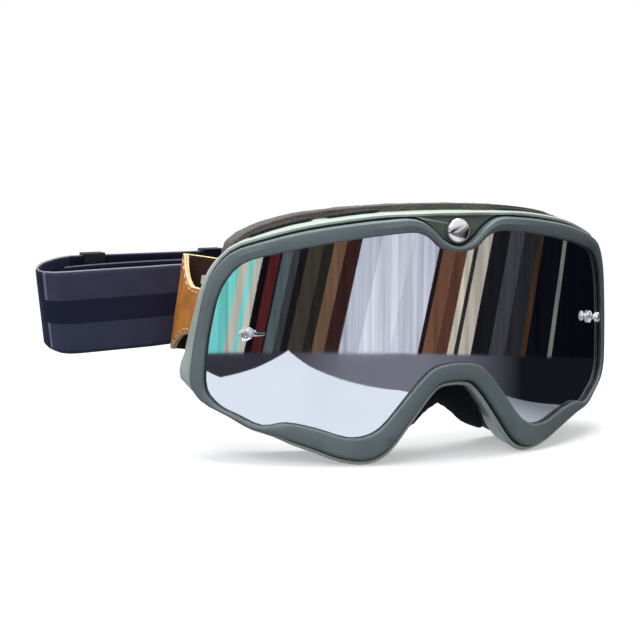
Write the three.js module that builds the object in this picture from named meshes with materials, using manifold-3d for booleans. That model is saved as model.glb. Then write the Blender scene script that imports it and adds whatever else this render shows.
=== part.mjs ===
// Motorcycle goggles with a wrapped mirror lens, a two-part frame, face foam, leather strap loops
// and an elastic strap. Millimetres, +Z up. The goggles look along -Y and the wearer is at +Y.
// Left and right are as seen by someone facing the goggles, so left is -X. Shapes are drawn from the
// front of the lens, on the centre plane. The finished group is then moved so that its origin is the
// middle of the strap's inner face, where the strap bears on the back of a helmet.

import * as THREE from "three";
import { mergeVertices } from "three/addons/utils/BufferGeometryUtils.js";
import Module from "manifold-3d";

const wasm = await Module();
wasm.setup();

// ---------------------------------------------------------------- driving dimensions

const LENS_RADIUS = 124;
const LENS_THICKNESS = 1.2;
const LENS_BAND = 0.55;
const LENS_CENTRE_Z = 10;
const STEPS_PER_STATION = 3;

// Holes are cut with cylinders that are longer than the material, and have this many sides.
const DRILL_LENGTH = 60;
const SHORT_DRILL_LENGTH = 12;
const ROUND_SIDES = 20;

const SEAM_GAP = 1.0;
const LIP_WIDTH = 1.4;
const WALL = 2.2;
const LIP_LIFT = -1.0;
const TUCKED_LIP_LIFT = -2.6;
const TUCKED_GAP = -0.4;
const SEAT_FRONT_LIFT = -2.9;
const SEAT_BACK_LIFT = -4.4;
const SEAT_BAND = 0.35;
const SEAL_GROW = 0.6;
const TUCKED_SEAL_GROW = -1;

const FACE_CENTRE_Y = 19;
const FACE_WRAP_Y = 35;
const FACE_HALF_WIDTH = 91;
const FACE_POWER = 2.5;
const FLANGE_THICKNESS = 1.8;
const LIP_CREST = 0.8;
const LIP_DROP = 1;
const REAR_ROUND = 1;
const INNER_ROUND = 1.4;
const FLANGE_BANDS = [0.5, 0.25, 0];

// The bezel's and the seal's sections. The bezel's points are [band, lift] and the seal's are
// [band, share of the outward growth, lift]. Lift is measured outwards from the lens's front.
const BEZEL_SECTION = [
  [0, 0.35], [0, 1.3], [0.1, 1.9], [0.5, 2.3], [0.88, 1.9], [1, 1], [1, -1.6], [0.74, -1.6], [0.74, 0.35],
];
const SEAL_SECTION = [
  [0.4, 0, -1.35], [LENS_BAND, 0, -1.35], [0.62, 0, -1.8], [1, 1, -1.8], [1, 1, -2.45], [0.4, 0, -2.45],
];

const POST_S = 81;
const POST_Z = 1;
const POST_HOLE_RADIUS = 1.2;
// Half of the post's section, [radius, lift]: a foot behind the lens, a flange on it and a double knob.
const POST_PROFILE = [
  [0, -2.6], [1.6, -2.4], [1.9, -1.6], [0.9, -1.4], [0.9, 0.15], [2.3, 0.2], [2.5, 0.6], [2, 1.1],
  [1.2, 1.5], [1.1, 2.5], [1.7, 2.9], [2.1, 3.6], [1.8, 4.4], [1.1, 4.8], [0, 5],
];

const RIVET_Z = 39.4;
const RIVET_RADIUS = 4.9;
const RIVET_SHANK_RADIUS = 1.5;
const RIVET_SHANK_END = -6;
const RIVET_HOLE_CLEARANCE = 0.3;
const RIVET_FOOT_GAP = 0.15;
const RIVET_EDGE = 0.9;
const RIVET_DOME_HEIGHT = 2.5;
const PAD_FRONT_LIFT = -1.2;
const PAD_BACK_LIFT = -3.6;
const PAD_TOP_Z = 45.6;
const PAD_LEAST_HEIGHT = 0.3;
const PAD_STATIONS = 3.3;

const BAR_X = -80.5;
const BAR_Y = 58.5;
const BAR_Z = 5.5;
const BAR_TILT = THREE.MathUtils.degToRad(8.7);
const BAR_RADIUS = 1.6;
const BAR_CLEARANCE = 0.1;
const BAR_END_INSET = 0.5;
const LUG_INNER_HALF = 11.2;
const LUG_THICKNESS = 3.2;
const LUG_HALF_WIDTH = 3;
const LUG_LENGTH = 15;

const LEATHER_PLY = 0.95;
const LEATHER_GLUE_GAP = 0.1;
const LEATHER_HALF_HEIGHT_AT_BAR = 9.4;
const LEATHER_HALF_HEIGHT_AT_FOLD = 19.2;
const LEATHER_RISE = 2.2;
const LEATHER_SPREAD_SPAN = [4.5, 15];
const LEATHER_SPREAD_POWER = 2;

const STRAP_HEIGHT = 32.2;
const STRAP_THICKNESS = 1.8;
const REAR_START = new THREE.Vector2(-127, 86.48);
const REAR_ANGLE = Math.atan2(13, 121.5);
const REAR_STRAIGHT = 113.5;
const PAD_ANGLE = Math.atan2(6.5, 121.5);
const PAD_STRAIGHT = 34;
const REAR_Z = 11;

const SLIDER_LENGTH = 9;
const SLIDER_WALL = 1.5;
const SLIDER_END_WALL = 0.8;
const SLIDER_END_CLEARANCE = 0.15;
const SLIDER_WINDOW_LENGTH = 2;
const SLIDER_WINDOW_AT = 2.1;
const SLIDER_CLEARANCE = 0.4;
const SLIDER_WINDOW_INSET = 0.75;
const FOLD_SLIDER_AT = 9.8;
const REAR_SLIDER_AT = 61.5;

// The half outlines run from the top centre, down the right side, to the nose.
// Each point is [distance along the curved lens, height]. Lists that are lofted together
// have their points at matching stations.
const OPENING_HALF = [
  [0, 31.7], [7.3, 33.2], [11.7, 37], [17, 39], [28.5, 38.3], [41, 36.6], [54, 34.4], [70, 31],
  [83, 26.8], [91, 17.5], [95, 4], [97.2, -10], [97, -21], [92, -26.5], [84, -30], [75, -33.4],
  [66, -32], [54.4, -34], [42.7, -37.4], [35.7, -36.8], [30.2, -33.8], [21.6, -24], [14, -15.3],
  [9, -11.6], [0, -10.2],
];
const BEZEL_HALF = [
  [0, 33.6], [6.3, 36], [11.7, 41], [17.5, 44], [28.8, 43.8], [43, 42.2], [58, 39.8], [73, 36],
  [87, 31], [95.5, 21], [100.2, 5], [103, -9], [103.6, -19], [99.5, -25], [88, -30.5], [78.5, -35.2],
  [67, -37.6], [55.4, -41.2], [44.7, -44.9], [34.9, -45.8], [28.4, -42.8], [19.2, -31.5], [11.6, -22],
  [7, -18], [0, -16.9],
];
const UNDIPPED_TOP = [[0, 44.4], [6.3, 44.4], [11.7, 44.3], [17.5, 44.1]];
const BODY_HALF = [...UNDIPPED_TOP, ...BEZEL_HALF.slice(UNDIPPED_TOP.length)];

// How far the frame body widens from front to rear, by station.
const FLARE_BY_STATION = [
  [0, -0.4], [6, -0.5], [7, -1.5], [7.5, -2.6], [8, -4.2], [9, -4.6], [10, -4], [11, -3.3], [11.5, -2.2],
  [12, -2.4], [12.5, -3.4], [13, -5.2], [14, -4.2], [15, -3.4], [16, -1], [18, 0], [19, -0.6],
  [20, -1.6], [21, -2.6], [24, -2.6],
];

// Where the body's lip is tucked under the bezel: 0 is beside it and 1 is right behind it.
const TUCK_BY_STATION = [[12.2, 0], [13.2, 1], [15.2, 1], [16.2, 0]];

// The face opening and the foam's outer edge, [x, height], from the top centre to the nose.
const FACE_OUTER_HALF = [
  [0, 48.7], [20, 48.3], [42, 46.6], [61, 42.6], [74.6, 34.2], [75.1, 22], [76, 5], [75.5, -11],
  [71, -24], [61, -35], [49, -43], [38, -46], [27.6, -41.5], [19.4, -30], [11.2, -20.2], [0, -16.4],
];
const FACE_INNER_HALF = [
  [0, 40], [19, 40], [37, 38.7], [51.5, 34.5], [60.5, 27], [65, 16], [66, 3], [65, -10],
  [61, -19], [52.5, -27], [43.5, -32.5], [35.5, -33.5], [27.5, -29], [18, -17.5], [8.5, -9.5],
  [0, -7.5],
];
// Which station of the face outline lies behind each station of the frame outline.
const FACE_STATION_BY_STATION = [
  [0, 0], [4, 1.4], [5, 2.2], [7, 3.3], [8, 4], [9, 5], [10, 6], [12, 7.6], [13, 8.3], [15, 9.2],
  [18, 10.5], [19, 11.3], [20, 12], [21, 12.8], [22, 13.6], [24, 15],
];

// Each foam layer's start and end behind the frame's rear face.
const FOAM_BASE_SPAN = [0.8, 2.3];
const FOAM_CORE_SPAN = [2.6, 13];
const FOAM_FLEECE_SPAN = [13.3, 14.8];
// Each layer's inner and outer edge across the flange, and how far their rounding reaches.
const FOAM_BASE_BANDS = [0, 1];
const FOAM_CORE_BANDS = [0.04, 0.98];
const FOAM_FLEECE_BANDS = [0.1, 0.94];
const FOAM_EDGE_BAND = 0.08;
const FOAM_MOST_ROUND = 1;

// The nose foam hangs below the nose arch. It starts part way down the frame's nose wall, and its
// lower front edge is given as [distance from the centre plane, height]. Its rear edge is higher.
const NOSE_FOAM_FIRST_STATION = 20.75;
const NOSE_FOAM_WALL_SHARE = 0.7;
const NOSE_FOAM_GAP = 0.6;
const NOSE_FOAM_FAR = 12;
const NOSE_FOAM_ROUND = 2;
const NOSE_FOAM_REAR_RISE = 5.5;
const NOSE_FOAM_END_SHARE = 0.25;
const NOSE_FOAM_FOOT_SHARE = 0.1;
const NOSE_FOAM_LEAST_DROP = 1;
const NOSE_FOAM_EDGE = [
  [0, -28.3], [2, -29.6], [3.5, -30.3], [6.5, -32.6], [9.5, -35.5], [11.5, -36.8], [15, -38.6],
  [20.5, -40.3], [25, -41],
];

const VENT_STATIONS = { inner: [3.8, 5.2], outer: [5.6, 7.2] };
const VENT_SHARES = [0.56, 0.62, 0.92, 0.96];
const VENT_LIFT = 0.2;
const VENT_THICKNESS = 1.1;

// One leather loop in plan, relative to its bar: x outwards is negative, y is towards the wearer.
const LEATHER_PATH = [
  [-2.9, -0.5], [-4, 6], [-5.3, 14], [-4.6, 18.2], [-1, 19.6], [4, 18.6], [8.5, 15.5], [8, 9],
  [4.2, 3], [2.6, -1.2], [0, -2.9],
];

// Strap plies in plan, [x, y, height of the ply's centre].
const STRAP_FRONT_PATH = [
  [-79, 81.6, 6.9], [-88, 80.6, 6.9], [-97, 76, 6.9], [-110, 72, 6.9], [-122, 69.4, 6.8],
  [-134, 67.4, 6.6],
];
const STRAP_TAIL_PATH = [
  [-79, 84, 8.6], [-90, 83, 8.6], [-105, 80.4, 8.4], [-120, 78.4, 8], [-131, 77.4, 7.4],
];
const STRAP_FOLD_PATH = [
  [-137.6, 67.3, 6.6], [-141.9, 69.8, 6.9], [-142.4, 74.6, 7.7], [-139.6, 79.6, 9], [-134.6, 83.4, 10.1],
  [-129.8, 85.5, 10.8],
];
const STRAP_REAR_BEND = [[35, 99.9, 10.8], [52, 96.8, 10], [64, 91.8, 9.2], [70, 88, 8.6]];
const STRAP_END_RIGHT_PATH = [[76, 84.6, 8.2], [81, 82.2, 8], [86.5, 81.2, 8]];

// ---------------------------------------------------------------- colours

const SLATE = material(0x545f66, 0.55, 0);
const SAGE = material(0x9fb0a6, 0.5, 0);
const BLACK_RUBBER = material(0x14181c, 0.8, 0);
const MIRROR = material(0xb9bcc0, 0.05, 1);
const CLEAR = material(0xd8dcdc, 0.1, 0);
const CHROME = material(0xd0d0ce, 0.08, 1);
const STEEL = material(0x8d9092, 0.3, 1);
const FOAM_BROWN = material(0x544c48, 0.95, 0);
const FOAM_BLACK = material(0x15151a, 0.95, 0);
const FLEECE = material(0x2c2928, 1, 0);
const TAN_LEATHER = material(0xb8722f, 0.6, 0);
const BROWN_LEATHER = material(0x3a1c12, 0.8, 0);
const WEBBING = material(0x34333f, 0.9, 0);
const DARK_WEBBING = material(0x10131c, 0.9, 0);
const BLACK_PLASTIC = material(0x1b1c1f, 0.45, 0);

function material(color, roughness, metalness) {
  return new THREE.MeshStandardMaterial({ color, roughness, metalness });
}

// ---------------------------------------------------------------- outlines and surfaces

function closedCurve(half) {
  const right = half.map(([a, b]) => new THREE.Vector3(a, b, 0));
  const left = half.slice(1, -1).reverse().map(([a, b]) => new THREE.Vector3(-a, b, 0));
  return new THREE.CatmullRomCurve3([...right, ...left], true, "centripetal");
}

const openingCurve = closedCurve(OPENING_HALF);
const bezelCurve = closedCurve(BEZEL_HALF);
const bodyCurve = closedCurve(BODY_HALF);
const faceOuterCurve = closedCurve(FACE_OUTER_HALF);
const faceInnerCurve = closedCurve(FACE_INNER_HALF);

const STATIONS = 2 * (OPENING_HALF.length - 1);
const FACE_STATIONS = 2 * (FACE_OUTER_HALF.length - 1);

function fraction(station, total) {
  return (((station % total) + total) % total) / total;
}

// Reads a value from a list of [place, value] pairs, with straight lines between them.
function readTable(table, place) {
  const next = table.findIndex(([at]) => at >= place);
  if (next === 0) return table[0][1];
  if (next < 0) return table[table.length - 1][1];
  const [s0, v0] = table[next - 1];
  const [s1, v1] = table[next];
  return v0 + ((v1 - v0) * (place - s0)) / (s1 - s0);
}

// Reads a value from a list of [station, value] pairs. The far side mirrors the near side.
function byStation(table, station, total) {
  const wrapped = fraction(station, total) * total;
  return readTable(table, Math.min(wrapped, total - wrapped));
}

// A point between the lens opening (band 0) and an outer curve (band 1), moved outwards by grow.
function bandPoint(outer, band, grow, station) {
  const at = (k) => {
    const f = fraction(k, STATIONS);
    return openingCurve.getPoint(f).lerp(outer.getPoint(f), band);
  };
  const here = at(station);
  const along = at(station + 0.05).sub(at(station - 0.05)).normalize();
  const outward = new THREE.Vector3(-along.y, along.x, 0);
  return { point: here.addScaledVector(outward, grow), outward };
}

function wrap(s, z, lift) {
  const angle = s / LENS_RADIUS;
  const radius = LENS_RADIUS + lift;
  return new THREE.Vector3(radius * Math.sin(angle), LENS_RADIUS - radius * Math.cos(angle), z);
}

function frontPoint(outer, band, grow, lift, station) {
  const { point } = bandPoint(outer, band, grow, station);
  return wrap(point.x, point.y, lift);
}

function faceY(x) {
  return FACE_CENTRE_Y + FACE_WRAP_Y * (Math.abs(x) / FACE_HALF_WIDTH) ** FACE_POWER;
}

// A point of the frame body's rear rim, grown outwards in the front view.
function rearPoint(grow, offsetY, station) {
  const { point, outward } = bandPoint(bodyCurve, 1, 0, station);
  const base = wrap(point.x, point.y, 0);
  const side = new THREE.Vector2(outward.x * Math.cos(point.x / LENS_RADIUS), outward.y).normalize();
  const flare = byStation(FLARE_BY_STATION, station, STATIONS);
  const x = base.x + side.x * (grow + flare);
  const z = base.z + side.y * (grow + flare);
  return new THREE.Vector3(x, faceY(x) + offsetY, z);
}

function faceStation(station) {
  const wrapped = fraction(station, STATIONS) * STATIONS;
  const near = byStation(FACE_STATION_BY_STATION, station, STATIONS);
  return wrapped > STATIONS / 2 ? FACE_STATIONS - near : near;
}

// A point across the face flange: band 0 is the face opening and band 1 the foam's outer edge.
function facePoint(band, offsetY, station) {
  const f = fraction(station, FACE_STATIONS);
  const p = faceInnerCurve.getPoint(f).lerp(faceOuterCurve.getPoint(f), band);
  return new THREE.Vector3(p.x, faceY(p.x) + offsetY, p.y);
}

// ---------------------------------------------------------------- solids

// Joins sections of equal point count into one closed body, as a ring or with end caps.
function loft(sections, ring) {
  const count = sections[0].length;
  const positions = sections.flat().flatMap((p) => [p.x, p.y, p.z]);
  const index = [];
  const spans = ring ? sections.length : sections.length - 1;
  for (let i = 0; i < spans; i += 1) {
    const a = i * count;
    const b = ((i + 1) % sections.length) * count;
    for (let j = 0; j < count; j += 1) {
      const k = (j + 1) % count;
      index.push(a + j, b + j, b + k, a + j, b + k, a + k);
    }
  }
  if (!ring) {
    const last = (sections.length - 1) * count;
    for (let j = 1; j < count - 1; j += 1) {
      index.push(0, j, j + 1);
      index.push(last, last + j + 1, last + j);
    }
  }
  return outwardFacing(positions, index);
}

function outwardFacing(positions, index) {
  const geometry = new THREE.BufferGeometry();
  geometry.setAttribute("position", new THREE.Float32BufferAttribute(positions, 3));
  geometry.setIndex(index);
  if (signedVolume(geometry) < 0) {
    for (let i = 0; i < index.length; i += 3) {
      [index[i + 1], index[i + 2]] = [index[i + 2], index[i + 1]];
    }
    geometry.setIndex(index);
  }
  geometry.computeVertexNormals();
  return geometry;
}

function signedVolume(geometry) {
  const p = geometry.attributes.position;
  const index = geometry.index.array;
  const [a, b, c] = [new THREE.Vector3(), new THREE.Vector3(), new THREE.Vector3()];
  let volume = 0;
  for (let i = 0; i < index.length; i += 3) {
    a.fromBufferAttribute(p, index[i]);
    b.fromBufferAttribute(p, index[i + 1]);
    c.fromBufferAttribute(p, index[i + 2]);
    volume += a.dot(b.cross(c)) / 6;
  }
  return volume;
}

function ringStations(total) {
  const count = total * STEPS_PER_STATION;
  return Array.from({ length: count }, (_, i) => i / STEPS_PER_STATION);
}

function toManifold(geometry) {
  const bare = geometry.clone();
  bare.deleteAttribute("normal");
  bare.deleteAttribute("uv");
  const merged = mergeVertices(bare, 1e-4);
  const mesh = new wasm.Mesh({
    numProp: 3,
    vertProperties: new Float32Array(merged.attributes.position.array),
    triVerts: new Uint32Array(merged.index.array),
  });
  return new wasm.Manifold(mesh);
}

function fromManifold(solid) {
  const mesh = solid.getMesh();
  const geometry = new THREE.BufferGeometry();
  geometry.setAttribute("position", new THREE.Float32BufferAttribute(mesh.vertProperties, 3));
  geometry.setIndex(Array.from(mesh.triVerts));
  geometry.computeVertexNormals();
  return geometry;
}

function combine(base, added, removed) {
  let solid = toManifold(base);
  for (const geometry of added) solid = solid.add(toManifold(geometry));
  for (const geometry of removed) solid = solid.subtract(toManifold(geometry));
  return fromManifold(solid);
}

function mirrored(geometry) {
  const copy = geometry.index ? geometry.clone() : mergeVertices(geometry);
  const positions = Array.from(copy.attributes.position.array);
  for (let i = 0; i < positions.length; i += 3) positions[i] = -positions[i];
  return outwardFacing(positions, Array.from(copy.index.array));
}

function node(name, geometry, look) {
  const mesh = new THREE.Mesh(geometry, look);
  mesh.name = name;
  return mesh;
}

// A lathe turned about +Y is laid along the lens normal at one place on the lens.
function lensNormalMatrix(s, z) {
  const angle = s / LENS_RADIUS;
  const outward = new THREE.Vector3(Math.sin(angle), -Math.cos(angle), 0);
  const turn = new THREE.Quaternion().setFromUnitVectors(new THREE.Vector3(0, 1, 0), outward);
  return new THREE.Matrix4().compose(wrap(s, z, 0), turn, new THREE.Vector3(1, 1, 1));
}

function lathe(profile, segments) {
  const points = profile.map(([radius, height]) => new THREE.Vector2(radius, height));
  return new THREE.LatheGeometry(points, segments);
}

// ---------------------------------------------------------------- frame

function frontBezel() {
  const sections = ringStations(STATIONS).map((station) =>
    BEZEL_SECTION.map(([band, lift]) => frontPoint(bezelCurve, band, 0, lift, station)));
  return loft(sections, true);
}

// How the body's lip stands at a station: the gap beside the bezel, its outer rim and its height.
function lipAt(station) {
  const tuck = byStation(TUCK_BY_STATION, station, STATIONS);
  const gap = THREE.MathUtils.lerp(SEAM_GAP, TUCKED_GAP, tuck);
  const lift = THREE.MathUtils.lerp(LIP_LIFT, TUCKED_LIP_LIFT, Math.min(1, 2 * tuck));
  return { gap, rim: gap + LIP_WIDTH, lift, tuck };
}

// A point on the body's outer wall: share 0 is at its lip and share 1 at its rear rim.
function wallPoint(grow, share, station) {
  const { rim, lift } = lipAt(station);
  const front = frontPoint(bodyCurve, 1, rim + grow, lift - LIP_DROP, station);
  return front.lerp(rearPoint(rim + grow, -REAR_ROUND, station), share);
}

function bodySection(station) {
  const { gap, rim, lift } = lipAt(station);
  const face = faceStation(station);
  const innerRim = rim - WALL;
  const rearEdge = rearPoint(rim - LIP_CREST, 0, station);
  const flange = FLANGE_BANDS.map((band) => facePoint(band, 0, face));
  const between = rearEdge.clone().lerp(flange[0], 0.5);
  between.y = faceY(between.x);
  return [
    frontPoint(bodyCurve, 1, gap, lift, station),
    frontPoint(bodyCurve, 1, gap + LIP_CREST, lift + 0.1, station),
    wallPoint(0, 0, station),
    wallPoint(0, 0.5, station),
    wallPoint(0, 1, station),
    rearEdge,
    between,
    ...flange,
    facePoint(0, -FLANGE_THICKNESS, face),
    rearPoint(innerRim - INNER_ROUND, -FLANGE_THICKNESS - LIP_CREST, station),
    frontPoint(bodyCurve, 1, innerRim - REAR_ROUND, SEAT_BACK_LIFT, station),
    frontPoint(bezelCurve, SEAT_BAND, 0, SEAT_BACK_LIFT, station),
    frontPoint(bezelCurve, SEAT_BAND, 0, SEAT_FRONT_LIFT, station),
    frontPoint(bodyCurve, 1, gap, SEAT_FRONT_LIFT, station),
  ];
}

// The recessed triangular pad that carries the rivet above the bezel's dip.
function rivetPad() {
  const lower = [];
  const steps = Math.round(2 * PAD_STATIONS * STEPS_PER_STATION);
  for (let i = 0; i <= steps; i += 1) {
    const station = -PAD_STATIONS + (2 * PAD_STATIONS * i) / steps;
    const { point } = bandPoint(bezelCurve, 1, SEAM_GAP, station);
    lower.push(new THREE.Vector2(point.x, Math.min(point.y, PAD_TOP_Z - PAD_LEAST_HEIGHT)));
  }
  const right = lower[lower.length - 1].x;
  const outline = [...lower, new THREE.Vector2(right, PAD_TOP_Z), new THREE.Vector2(-right, PAD_TOP_Z)];
  const faces = THREE.ShapeUtils.triangulateShape(outline, []);
  const front = outline.map((p) => wrap(p.x, p.y, PAD_FRONT_LIFT));
  const back = outline.map((p) => wrap(p.x, p.y, PAD_BACK_LIFT));
  const positions = [...front, ...back].flatMap((p) => [p.x, p.y, p.z]);
  const n = outline.length;
  const index = [];
  for (const [a, b, c] of faces) index.push(a, b, c, a + n, c + n, b + n);
  for (let i = 0; i < n; i += 1) {
    const j = (i + 1) % n;
    index.push(i, i + n, j + n, i, j + n, j);
  }
  return outwardFacing(positions, index);
}

function barMatrix() {
  return new THREE.Matrix4()
    .makeTranslation(BAR_X, BAR_Y, BAR_Z)
    .multiply(new THREE.Matrix4().makeRotationY(BAR_TILT));
}

// A tongue on the frame's side that holds one end of the strap bar.
function strapLug(bottomZ) {
  const shape = new THREE.Shape();
  shape.moveTo(-LUG_HALF_WIDTH, -LUG_LENGTH);
  shape.lineTo(LUG_HALF_WIDTH, -LUG_LENGTH);
  shape.lineTo(LUG_HALF_WIDTH, 0);
  shape.absarc(0, 0, LUG_HALF_WIDTH, 0, Math.PI, false);
  const lug = new THREE.ExtrudeGeometry(shape, { depth: LUG_THICKNESS, bevelEnabled: false, curveSegments: 8 });
  return lug.translate(0, 0, bottomZ).applyMatrix4(barMatrix());
}

function barCylinder(radius, length) {
  return new THREE.CylinderGeometry(radius, radius, length, ROUND_SIDES)
    .rotateX(Math.PI / 2)
    .applyMatrix4(barMatrix());
}

function frameBody() {
  const shell = loft(ringStations(STATIONS).map(bodySection), true);
  const lugs = [strapLug(LUG_INNER_HALF), strapLug(-LUG_INNER_HALF - LUG_THICKNESS)];
  const hole = barCylinder(BAR_RADIUS + BAR_CLEARANCE, DRILL_LENGTH);
  const shankRadius = RIVET_SHANK_RADIUS + RIVET_HOLE_CLEARANCE;
  const shank = new THREE.CylinderGeometry(shankRadius, shankRadius, SHORT_DRILL_LENGTH, ROUND_SIDES)
    .applyMatrix4(lensNormalMatrix(0, RIVET_Z));
  const added = [rivetPad(), ...lugs, ...lugs.map(mirrored)];
  return combine(shell, added, [hole, mirrored(hole), shank]);
}

function strapBar() {
  return barCylinder(BAR_RADIUS, 2 * (LUG_INNER_HALF + LUG_THICKNESS - BAR_END_INSET));
}

function noseRivet() {
  const dome = [];
  const steps = 8;
  const edge = PAD_FRONT_LIFT + RIVET_EDGE;
  for (let i = 0; i < steps; i += 1) {
    const angle = (Math.PI / 2) * (i / steps);
    dome.push([RIVET_RADIUS * Math.cos(angle), edge + RIVET_DOME_HEIGHT * Math.sin(angle)]);
  }
  const foot = PAD_FRONT_LIFT + RIVET_FOOT_GAP;
  const profile = [
    [0, RIVET_SHANK_END], [RIVET_SHANK_RADIUS, RIVET_SHANK_END], [RIVET_SHANK_RADIUS, foot],
    [RIVET_RADIUS, foot], ...dome, [0, edge + RIVET_DOME_HEIGHT],
  ];
  return lathe(profile, 32).applyMatrix4(lensNormalMatrix(0, RIVET_Z));
}

// ---------------------------------------------------------------- lens

function lensPlate() {
  const stations = Array.from({ length: STATIONS * 2 }, (_, i) => i / 2);
  const reach = [0.18, 0.36, 0.52, 0.68, 0.84, 1];
  const edge = stations.map((station) => bandPoint(bezelCurve, LENS_BAND, 0, station).point);
  const positions = [];
  for (const lift of [0, -LENS_THICKNESS]) {
    positions.push(wrap(0, LENS_CENTRE_Z, lift));
    for (const k of reach) {
      for (const p of edge) {
        positions.push(wrap(p.x * k, LENS_CENTRE_Z + (p.y - LENS_CENTRE_Z) * k, lift));
      }
    }
  }
  const n = edge.length;
  const side = 1 + reach.length * n;
  const index = [];
  for (const [start, flip] of [[0, false], [side, true]]) {
    const push = (a, b, c) => index.push(a, flip ? c : b, flip ? b : c);
    for (let i = 0; i < n; i += 1) {
      const j = (i + 1) % n;
      push(start, start + 1 + j, start + 1 + i);
      for (let r = 0; r < reach.length - 1; r += 1) {
        const a = start + 1 + r * n;
        const b = a + n;
        push(a + i, a + j, b + j);
        push(a + i, b + j, b + i);
      }
    }
  }
  const front = 1 + (reach.length - 1) * n;
  const back = side + front;
  for (let i = 0; i < n; i += 1) {
    const j = (i + 1) % n;
    index.push(front + i, front + j, back + j, front + i, back + j, back + i);
  }
  return outwardFacing(positions.flatMap((p) => [p.x, p.y, p.z]), index);
}

function lens() {
  const holes = [-1, 1].map((side) =>
    new THREE.CylinderGeometry(POST_HOLE_RADIUS, POST_HOLE_RADIUS, SHORT_DRILL_LENGTH, ROUND_SIDES)
      .applyMatrix4(lensNormalMatrix(side * POST_S, POST_Z)));
  return combine(lensPlate(), [], holes);
}

function lensSeal() {
  const sections = ringStations(STATIONS).map((station) => {
    const grow = THREE.MathUtils.lerp(SEAL_GROW, TUCKED_SEAL_GROW, lipAt(station).tuck);
    return SEAL_SECTION.map(([band, share, lift]) =>
      frontPoint(bezelCurve, band, share * grow, lift, station));
  });
  return loft(sections, true);
}

function tearOffPost(side) {
  return lathe(POST_PROFILE, 24).applyMatrix4(lensNormalMatrix(side * POST_S, POST_Z));
}

// ---------------------------------------------------------------- foam

function foamLayer([near, far], [innerBand, outerBand]) {
  const round = Math.min(FOAM_MOST_ROUND, (far - near) / 3);
  const middle = (innerBand + outerBand) / 2;
  const sections = ringStations(FACE_STATIONS).map((station) => [
    facePoint(innerBand, near, station),
    facePoint(innerBand, far - round, station),
    facePoint(innerBand + FOAM_EDGE_BAND, far, station),
    facePoint(middle, far, station),
    facePoint(outerBand - FOAM_EDGE_BAND, far, station),
    facePoint(outerBand, far - round, station),
    facePoint(outerBand, near, station),
    facePoint(middle, near, station),
  ]);
  return loft(sections, true);
}

// The foam that hangs below the nose arch, in front of the wearer's nose.
function noseFoam() {
  const steps = 40;
  const sections = [];
  for (let i = 0; i <= steps; i += 1) {
    const station = THREE.MathUtils.lerp(NOSE_FOAM_FIRST_STATION, STATIONS - NOSE_FOAM_FIRST_STATION, i / steps);
    const grow = lipAt(station).rim + NOSE_FOAM_GAP;
    const front = wallPoint(NOSE_FOAM_GAP, NOSE_FOAM_WALL_SHARE, station);
    const frontFoot = wallPoint(NOSE_FOAM_GAP, NOSE_FOAM_WALL_SHARE + NOSE_FOAM_FOOT_SHARE, station);
    const rearFoot = rearPoint(grow, NOSE_FOAM_FAR - NOSE_FOAM_ROUND, station);
    const rear = rearPoint(grow, NOSE_FOAM_FAR, station);
    const lowered = (p, share, rise) => {
      const edge = readTable(NOSE_FOAM_EDGE, Math.abs(p.x)) + rise;
      const foot = Math.min(edge, p.z - NOSE_FOAM_LEAST_DROP);
      return p.clone().setZ(THREE.MathUtils.lerp(foot, p.z, share));
    };
    sections.push([
      front,
      lowered(front, NOSE_FOAM_END_SHARE, 0),
      lowered(frontFoot, 0, 0),
      lowered(rearFoot, 0, NOSE_FOAM_REAR_RISE),
      lowered(rear, NOSE_FOAM_END_SHARE, NOSE_FOAM_REAR_RISE),
      rear,
      rearPoint(grow, -REAR_ROUND, station),
    ]);
  }
  return loft(sections, false);
}

// A filter strip on the frame's outer wall. Its section stands between four shares of the wall.
function ventFilter(from, to) {
  const steps = 10;
  const [front, frontTop, rearTop, rear] = VENT_SHARES;
  const top = VENT_LIFT + VENT_THICKNESS;
  const sections = [];
  for (let i = 0; i <= steps; i += 1) {
    const station = THREE.MathUtils.lerp(from, to, i / steps);
    sections.push([
      wallPoint(VENT_LIFT, front, station),
      wallPoint(top, frontTop, station),
      wallPoint(top, rearTop, station),
      wallPoint(VENT_LIFT, rear, station),
    ]);
  }
  return loft(sections, false);
}

// ---------------------------------------------------------------- strap loops

// How far the loop has widened: 0 at the bar and 1 at its fold. It widens fastest near the fold.
function leatherSpread(y) {
  const [from, to] = LEATHER_SPREAD_SPAN;
  return THREE.MathUtils.clamp((y - from) / (to - from), 0, 1) ** LEATHER_SPREAD_POWER;
}

// One ply of the leather loop, offset from the loop's middle line.
function leatherPly(offset) {
  const path = new THREE.CatmullRomCurve3(
    LEATHER_PATH.map(([x, y]) => new THREE.Vector3(x, y, 0)), true, "centripetal");
  const steps = 64;
  const sections = [];
  for (let i = 0; i < steps; i += 1) {
    const f = i / steps;
    const centre = path.getPoint(f);
    const along = path.getTangent(f);
    const outward = new THREE.Vector3(-along.y, along.x, 0);
    const spread = leatherSpread(centre.y);
    const half = THREE.MathUtils.lerp(LEATHER_HALF_HEIGHT_AT_BAR, LEATHER_HALF_HEIGHT_AT_FOLD, spread);
    const middle = LEATHER_RISE * spread;
    const corner = (depth, z) => centre.clone().addScaledVector(outward, depth).setZ(z);
    const inner = offset - LEATHER_PLY / 2;
    const outer = offset + LEATHER_PLY / 2;
    sections.push([
      corner(inner, middle - half), corner(outer, middle - half),
      corner(outer, middle + half), corner(inner, middle + half),
    ]);
  }
  return loft(sections, true).applyMatrix4(barMatrix());
}

function leatherOuter() {
  return leatherPly((LEATHER_PLY + LEATHER_GLUE_GAP) / 2);
}

function leatherLining() {
  return leatherPly(-(LEATHER_PLY + LEATHER_GLUE_GAP) / 2);
}

// ---------------------------------------------------------------- strap

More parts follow.
